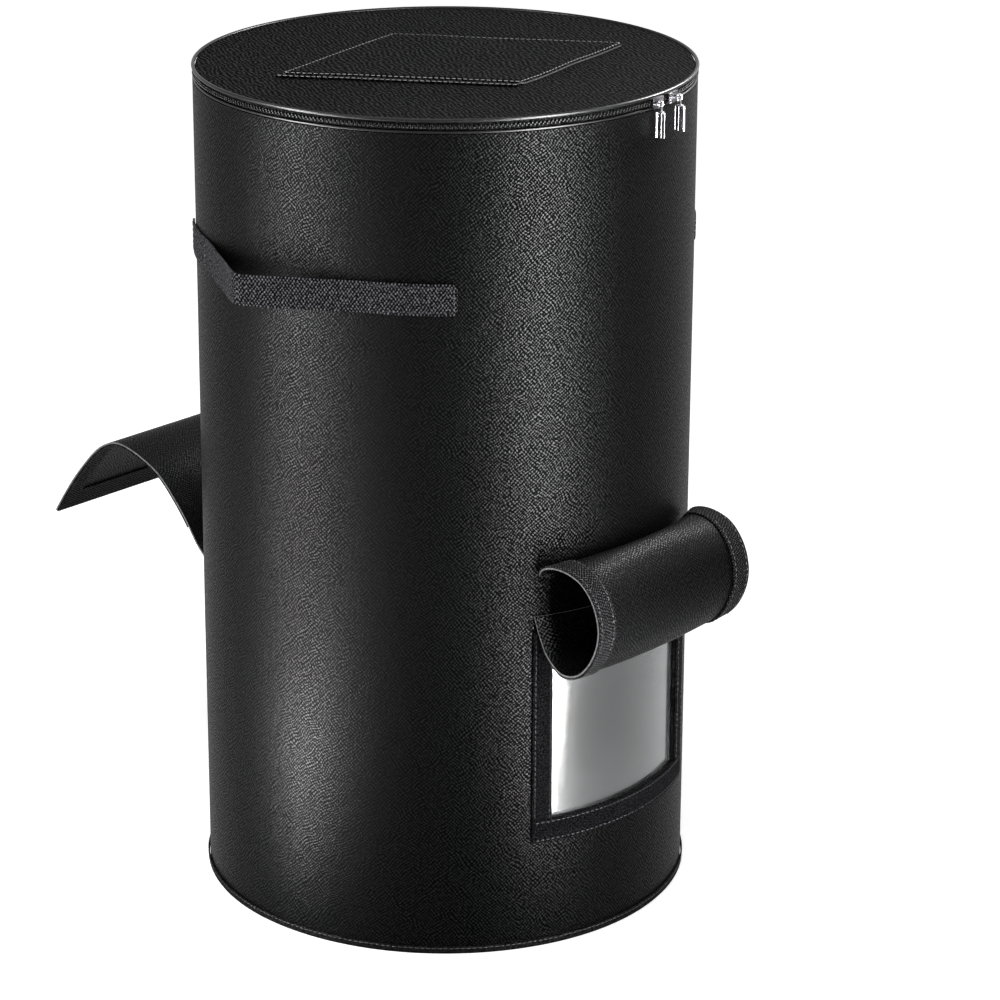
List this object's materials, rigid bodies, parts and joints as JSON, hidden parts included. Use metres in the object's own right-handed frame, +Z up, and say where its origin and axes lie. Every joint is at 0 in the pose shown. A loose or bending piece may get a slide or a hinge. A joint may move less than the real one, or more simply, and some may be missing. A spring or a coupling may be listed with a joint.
{
  "type": "fabric compost bin",
  "caption": "Tall round fabric compost bin with a zipped lid, a hatch in the lid, clear windows under hook-and-loop flaps, and webbing handles.",
  "frame": {"origin": "middle of the base, on the floor", "axes": "+Z up, the front window faces -Y, the two handles are at -X and +X"},
  "size_m": [0.4092, 0.5492, 0.6017],
  "materials": {
    "shell_fabric": "matte woven, black",
    "loop_tape": "matte looped pile, black",
    "hook_tape": "ribbed hook tape, black",
    "webbing": "coarse woven webbing, black",
    "piping": "smooth corded edge, black",
    "zip_teeth": "moulded, black",
    "chrome": "polished plating",
    "window_film": "clear flexible film, slightly hazy"
  },
  "bodies": {
    "bin": {"body_wall": "shell_fabric", "base_panel": "shell_fabric", "base_binding": "piping", "side_seam_tape": "piping", "front_window_film": "window_film", "back_window_film": "window_film", "front_loop_tape_left": "loop_tape", "front_loop_tape_right": "loop_tape", "front_loop_tape_bottom": "loop_tape", "back_loop_tape_left": "loop_tape", "back_loop_tape_right": "loop_tape", "back_loop_tape_bottom": "loop_tape", "rim_piping": "piping", "body_zip_tape": "piping", "body_zip_teeth": "zip_teeth", "lid_hinge_panel": "shell_fabric", "zip_stop_left": "zip_teeth", "zip_stop_right": "zip_teeth", "left_handle_end_front": "webbing", "left_handle_end_back": "webbing", "right_handle_end_front": "webbing", "right_handle_end_back": "webbing"},
    "lid": {"lid_panel": "shell_fabric", "lid_piping": "piping", "lid_zip_tape": "piping", "lid_zip_teeth": "zip_teeth", "hatch_loop_tape": "loop_tape", "hatch_seam_tape": "shell_fabric"},
    "hatch": {"hatch_flap": "shell_fabric", "hatch_hook_tape": "hook_tape"},
    "slider_left": {"zip_slider_left": "chrome"},
    "slider_right": {"zip_slider_right": "chrome"},
    "pull_left": {"zip_pull_left": "chrome"},
    "pull_right": {"zip_pull_right": "chrome"},
    "flap_front": {"front_flap": "shell_fabric", "front_hook_tape_left": "hook_tape", "front_hook_tape_right": "hook_tape", "front_hook_tape_bottom": "hook_tape"},
    "flap_back": {"back_flap": "shell_fabric", "back_hook_tape_left": "hook_tape", "back_hook_tape_right": "hook_tape", "back_hook_tape_bottom": "hook_tape"},
    "strap_left": {"left_handle_strap": "webbing"},
    "strap_right": {"right_handle_strap": "webbing"}
  },
  "joints": [
    {"name": "lid_hinge", "type": "hinge", "parent": "bin", "child": "lid", "pos_m": [-0.05218, 0.15595, 0.6], "axis": [-0.9483, -0.3173, 0], "range_deg": [0, 175]},
    {"name": "hatch_hinge", "type": "hinge", "parent": "lid", "child": "hatch", "pos_m": [-0.06585, -0.0192, 0.6017], "axis": [0.5329, -0.8462, 0], "range_deg": [0, 170]},
    {"name": "slider_left_travel", "type": "hinge", "parent": "bin", "child": "slider_left", "pos_m": [0, 0, 0.5945], "axis": [0, 0, 1], "range_deg": [-135, 0]},
    {"name": "slider_right_travel", "type": "hinge", "parent": "bin", "child": "slider_right", "pos_m": [0, 0, 0.5945], "axis": [0, 0, 1], "range_deg": [0, 154]},
    {"name": "pull_left_swing", "type": "hinge", "parent": "slider_left", "child": "pull_left", "pos_m": [0.01513, -0.18038, 0.5945], "axis": [-0.9954, -0.096, 0], "range_deg": [0, 90]},
    {"name": "pull_right_swing", "type": "hinge", "parent": "slider_right", "child": "pull_right", "pos_m": [0.0395, -0.17665, 0.5945], "axis": [-0.9785, -0.2061, 0], "range_deg": [0, 90]},
    {"name": "front_flap_swing", "type": "hinge", "parent": "bin", "child": "flap_front", "pos_m": [0, -0.15523, 0.25], "axis": [-1, 0, 0], "range_deg": [-5, 0]},
    {"name": "back_flap_swing", "type": "hinge", "parent": "bin", "child": "flap_back", "pos_m": [0, 0.1761, 0.203], "axis": [1, 0, 0], "range_deg": [-65, 8]},
    {"name": "left_handle_swing", "type": "hinge", "parent": "bin", "child": "strap_left", "pos_m": [-0.17969, 0, 0.478], "axis": [0, 1, 0], "range_deg": [-30, 30]},
    {"name": "right_handle_swing", "type": "hinge", "parent": "bin", "child": "strap_right", "pos_m": [0.17969, 0, 0.478], "axis": [0, -1, 0], "range_deg": [-30, 30]}
  ]
}
